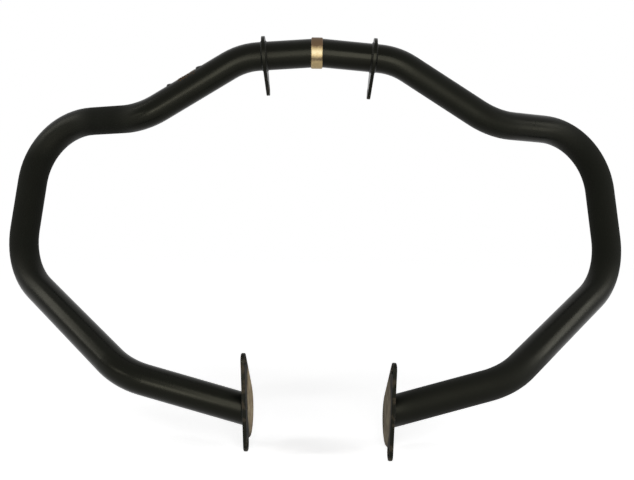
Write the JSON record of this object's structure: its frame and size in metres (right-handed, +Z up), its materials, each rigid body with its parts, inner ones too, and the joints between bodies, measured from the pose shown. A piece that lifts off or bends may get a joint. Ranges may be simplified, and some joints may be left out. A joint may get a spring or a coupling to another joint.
{
  "type": "motorcycle crash bars",
  "caption": "Black tubular crash bars for a motorcycle: mirrored bent tubes joined at the crown by a bare metal coupling, with upper lugs and lower end plates for the frame.",
  "frame": {"origin": "midway between the two end plates, level with the line of the lower legs, in the middle of the tubes' depth there", "axes": "+X across the bike to the viewer's right, +Y away from the viewer, +Z up towards the crown"},
  "size_m": [0.7202, 0.1517, 0.4491],
  "materials": {
    "black_powder_coat": "satin black powder coat, scuffed on one arm",
    "bare_steel": "turned bare steel with a warm tarnish",
    "screw_steel": "black oxide"
  },
  "bodies": {
    "root": {"centre_coupling": "bare_steel", "left_bar": "black_powder_coat", "left_end_plate": "black_powder_coat", "left_lug_welds": "black_powder_coat", "left_plate_weld": "black_powder_coat", "left_upper_lug": "black_powder_coat", "lock_screws": "screw_steel", "right_bar": "black_powder_coat", "right_end_plate": "black_powder_coat", "right_lug_welds": "black_powder_coat", "right_plate_weld": "black_powder_coat", "right_upper_lug": "black_powder_coat"}
  },
  "joints": []
}
